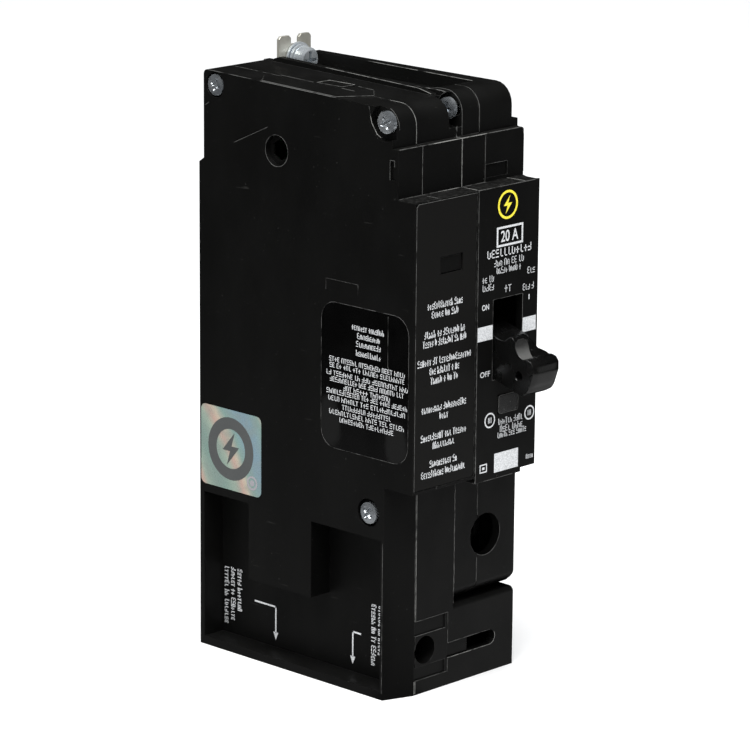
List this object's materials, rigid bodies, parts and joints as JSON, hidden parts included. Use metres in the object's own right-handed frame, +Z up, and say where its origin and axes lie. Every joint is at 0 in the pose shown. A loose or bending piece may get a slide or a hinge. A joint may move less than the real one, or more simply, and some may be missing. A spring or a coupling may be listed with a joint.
{
  "type": "ground-fault circuit breaker",
  "caption": "Narrow bolt-on circuit breaker with a ground-fault module beside it: toggle handle, test button, forked line tab and screw terminals.",
  "frame": {"origin": "centre of the whole box's base, under the load end that it stands on", "axes": "+Z up from the load end to the line end, -Y out of the front towards the handle, +X from the ground-fault module to the breaker"},
  "size_m": [0.0508, 0.0992, 0.1762],
  "materials": {
    "case_plastic": "black moulded thermoset, semi-gloss, fine orange peel",
    "handle_plastic": "black moulded thermoset, glossy",
    "label_film": "black printed film with plain white lines",
    "hologram_film": "silvery film with soft rainbow tints",
    "lens_plastic": "dark grey moulded plastic, glossy",
    "fibre": "tan fibre card",
    "board": "green laminate",
    "component": "black component case",
    "winding": "enamelled copper winding",
    "copper": "bare copper",
    "tinned_copper": "tin-plated copper, satin",
    "silver_alloy": "silver alloy contact",
    "zinc_steel": "bright zinc-plated steel",
    "steel": "plain steel",
    "aluminium": "plain extruded aluminium"
  },
  "bodies": {
    "housing": {"module_cover": "case_plastic", "module_case": "case_plastic", "breaker_cover": "case_plastic", "breaker_case": "case_plastic", "neutral_insert": "case_plastic", "side_label": "label_film", "test_label": "label_film", "hologram_sticker": "hologram_film", "indicator_lens": "lens_plastic", "arc_chute_frame": "fibre", "test_resistor": "fibre", "circuit_board": "board", "surge_varistor": "board", "controller_chip": "component", "filter_capacitor": "component", "current_transformer": "winding", "solenoid_coil": "winding", "load_strap": "copper", "flexible_braid": "copper", "neutral_busbar": "copper", "line_terminal": "tinned_copper", "fixed_contact": "silver_alloy", "cover_screw_upper_rear": "zinc_steel", "cover_screw_upper_front": "zinc_steel", "cover_screw_lower": "zinc_steel", "breaker_screw": "zinc_steel", "case_rivet_upper": "steel", "case_rivet_lower": "steel", "handle_pin": "steel", "arm_pin": "steel", "cradle_pin": "steel", "plunger_spring": "steel", "arc_plate_1": "steel", "arc_plate_2": "steel", "arc_plate_3": "steel", "arc_plate_4": "steel", "arc_plate_5": "steel", "bimetal": "steel", "magnet_yoke": "steel", "solenoid_frame": "steel", "load_lug": "aluminium", "load_neutral_lug": "aluminium", "panel_neutral_lug": "aluminium"},
    "handle": {"handle": "handle_plastic", "toggle_spring": "steel"},
    "contact_arm": {"contact_arm": "copper", "moving_contact": "silver_alloy"},
    "trip_bar": {"trip_bar": "lens_plastic"},
    "armature": {"armature": "steel"},
    "cradle": {"cradle": "steel"},
    "plunger": {"solenoid_plunger": "steel", "trip_link": "lens_plastic"},
    "test_button": {"test_button": "handle_plastic"},
    "test_blade": {"test_blade": "copper"},
    "line_screw": {"line_screw": "zinc_steel", "line_washer": "zinc_steel"},
    "load_lug_screw": {"load_lug_screw": "steel"},
    "load_neutral_screw": {"load_neutral_screw": "steel"},
    "panel_neutral_screw": {"panel_neutral_screw": "steel"}
  },
  "joints": [
    {"name": "handle_toggle", "type": "hinge", "parent": "housing", "child": "handle", "pos_m": [0.0127, -0.02026, 0.1009], "axis": [-1, 0, 0], "range_deg": [0, 35]},
    {"name": "contact_swing", "type": "hinge", "parent": "housing", "child": "contact_arm", "pos_m": [0.0127, 0.01244, 0.108], "axis": [-1, 0, 0], "range_deg": [0, 30]},
    {"name": "plunger_slide", "type": "slide", "parent": "housing", "child": "plunger", "axis": [0, 0, 1], "range_m": [0, 0.002], "stiffness_N_per_m": 150, "springref_m": -0.001, "deforming": ["plunger_spring"]},
    {"name": "trip_bar_turn", "type": "hinge", "parent": "housing", "child": "trip_bar", "pos_m": [0.0127, 0.01044, 0.092], "axis": [-1, 0, 0], "range_deg": [0, 18]},
    {"name": "cradle_release", "type": "hinge", "parent": "housing", "child": "cradle", "pos_m": [0.017, 0.02644, 0.104], "axis": [-1, 0, 0], "range_deg": [0, 18]},
    {"name": "armature_pull", "type": "hinge", "parent": "housing", "child": "armature", "pos_m": [0.0127, 0.00934, 0.058], "axis": [-1, 0, 0], "range_deg": [0, 4], "stiffness_Nm_per_rad": 0.02},
    {"name": "test_button_press", "type": "slide", "parent": "housing", "child": "test_button", "axis": [0, 1, 0], "range_m": [0, 0.0012], "stiffness_N_per_m": 300, "springref_m": -0.0003},
    {"name": "test_blade_flex", "type": "hinge", "parent": "housing", "child": "test_blade", "pos_m": [-0.0106, -0.02716, 0.108], "axis": [-1, 0, 0], "range_deg": [0, 4.2]},
    {"name": "line_screw_turn", "type": "hinge", "parent": "housing", "child": "line_screw", "pos_m": [0.0127, 0.04544, 0.1692], "axis": [0, 1, 0], "continuous": true},
    {"name": "load_lug_screw_turn", "type": "hinge", "parent": "housing", "child": "load_lug_screw", "pos_m": [0.0129, -0.01796, 0.0417], "axis": [0, 1, 0], "continuous": true},
    {"name": "load_neutral_screw_turn", "type": "hinge", "parent": "housing", "child": "load_neutral_screw", "pos_m": [-0.0112, -0.01716, 0.0126], "axis": [0, 1, 0], "continuous": true},
    {"name": "panel_neutral_screw_turn", "type": "hinge", "parent": "housing", "child": "panel_neutral_screw", "pos_m": [-0.0112, 0.03604, 0.0126], "axis": [0, 1, 0], "continuous": true}
  ],
  "couplings": [
    {"joint": "contact_swing", "follows": "handle_toggle", "ratio": 0.85714},
    {"joint": "trip_bar_turn", "follows": "plunger_slide", "rad_per_m": 150},
    {"joint": "cradle_release", "follows": "plunger_slide", "rad_per_m": 150},
    {"joint": "test_blade_flex", "follows": "test_button_press", "rad_per_m": 57.5}
  ]
}
